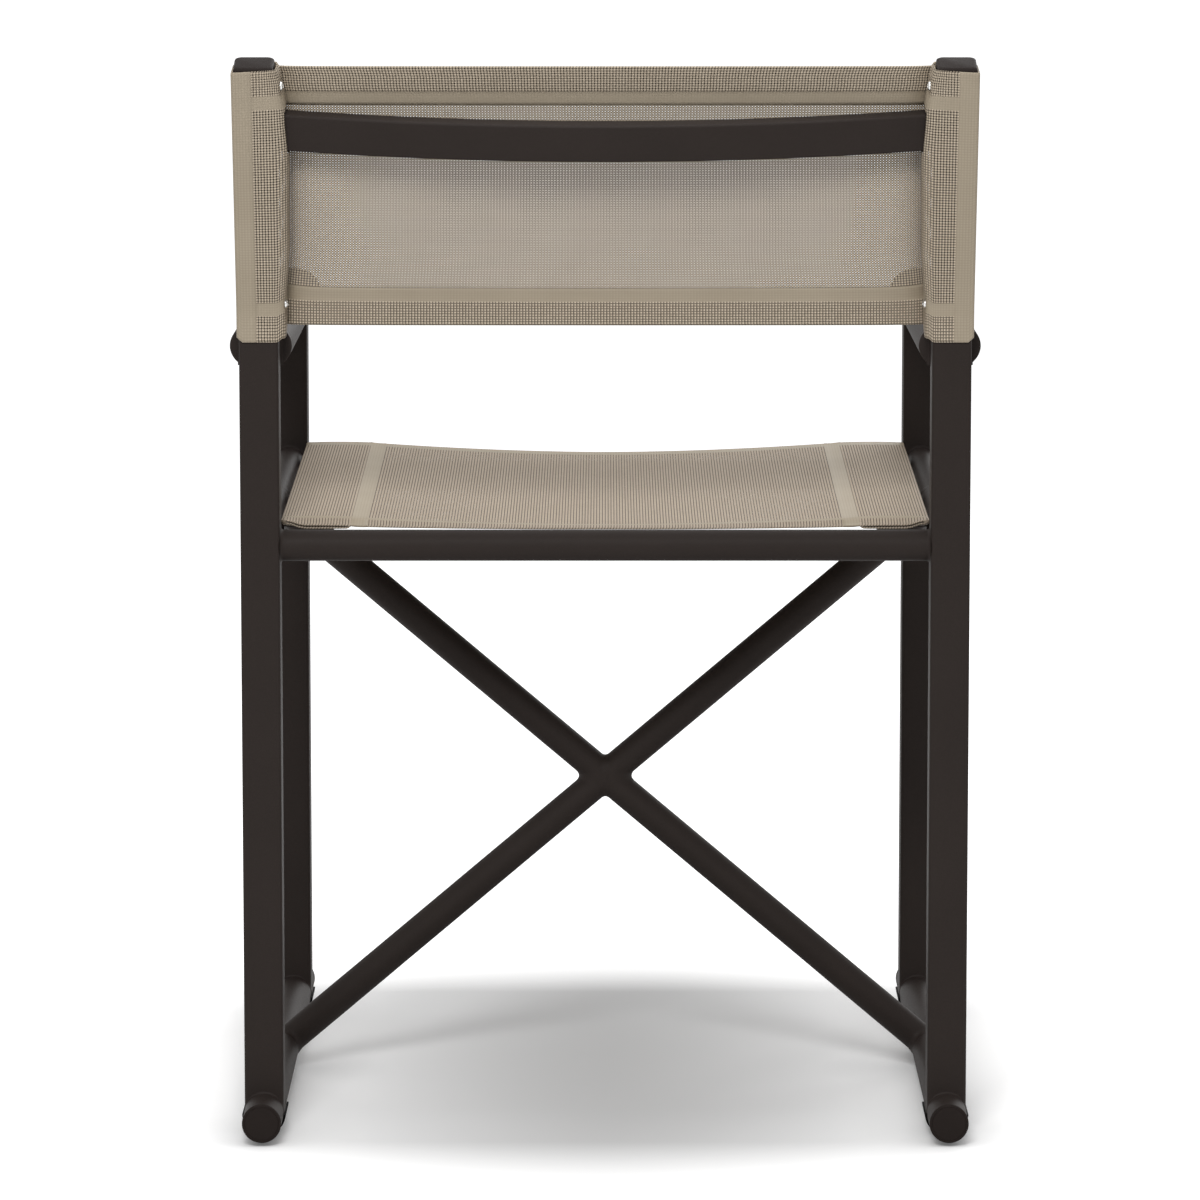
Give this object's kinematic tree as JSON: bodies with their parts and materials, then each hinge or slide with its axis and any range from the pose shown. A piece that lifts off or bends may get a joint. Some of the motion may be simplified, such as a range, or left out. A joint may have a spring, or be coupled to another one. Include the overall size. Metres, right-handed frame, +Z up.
{
  "type": "sling patio chair",
  "caption": "Outdoor armchair with a rigid welded tube frame, cross-braced on two floor runners, with a woven mesh seat sling and a back sling sleeved over raked posts.",
  "frame": {"origin": "on the floor, under the centre of the chair's box", "axes": "+Z up; the chair faces -Y, so its back is towards +Y; +X is towards the sitter's left"},
  "size_m": [0.5734, 0.5672, 0.832],
  "materials": {
    "frame": "dark bronze powder coat with a fine orange-peel texture, low sheen, on welded aluminium tube",
    "caps": "moulded end caps in the same dark bronze as the frame, satin",
    "glides": "black moulded plastic, matte",
    "sling": "open plain weave of taupe coated yarn, matte, with smooth heat-welded bands along its hems",
    "battens": "mill-finish flat bar, hidden in the seat pockets",
    "screws": "stainless pan heads, lightly brushed"
  },
  "bodies": {
    "root": {"rear_post_left": "frame", "rear_post_right": "frame", "front_post_left": "frame", "front_post_right": "frame", "runner_left": "frame", "runner_right": "frame", "arm_left": "frame", "arm_right": "frame", "seat_side_rail_left": "frame", "seat_side_rail_right": "frame", "seat_rear_rail": "frame", "seat_front_rail": "frame", "back_rail": "frame", "cross_brace_whole": "frame", "cross_brace_lower_half": "frame", "cross_brace_upper_half": "frame", "batten_bracket_left_rear": "frame", "batten_bracket_left_middle": "frame", "batten_bracket_left_front": "frame", "batten_bracket_right_rear": "frame", "batten_bracket_right_middle": "frame", "batten_bracket_right_front": "frame", "post_cap_left": "caps", "post_cap_right": "caps", "runner_cap_left_rear": "caps", "runner_cap_left_front": "caps", "runner_cap_right_rear": "caps", "runner_cap_right_front": "caps", "arm_cap_left_rear": "caps", "arm_cap_left_front": "caps", "arm_cap_right_rear": "caps", "arm_cap_right_front": "caps", "glide_left_rear": "glides", "glide_left_front": "glides", "glide_right_rear": "glides", "glide_right_front": "glides", "back_sling": "sling", "seat_sling": "sling", "seat_batten_left": "battens", "seat_batten_right": "battens", "batten_screw_left_rear": "screws", "batten_screw_left_middle": "screws", "batten_screw_left_front": "screws", "batten_screw_right_rear": "screws", "batten_screw_right_middle": "screws", "batten_screw_right_front": "screws", "sling_screw_left_lower": "screws", "sling_screw_left_upper": "screws", "sling_screw_right_lower": "screws", "sling_screw_right_upper": "screws"}
  },
  "joints": []
}
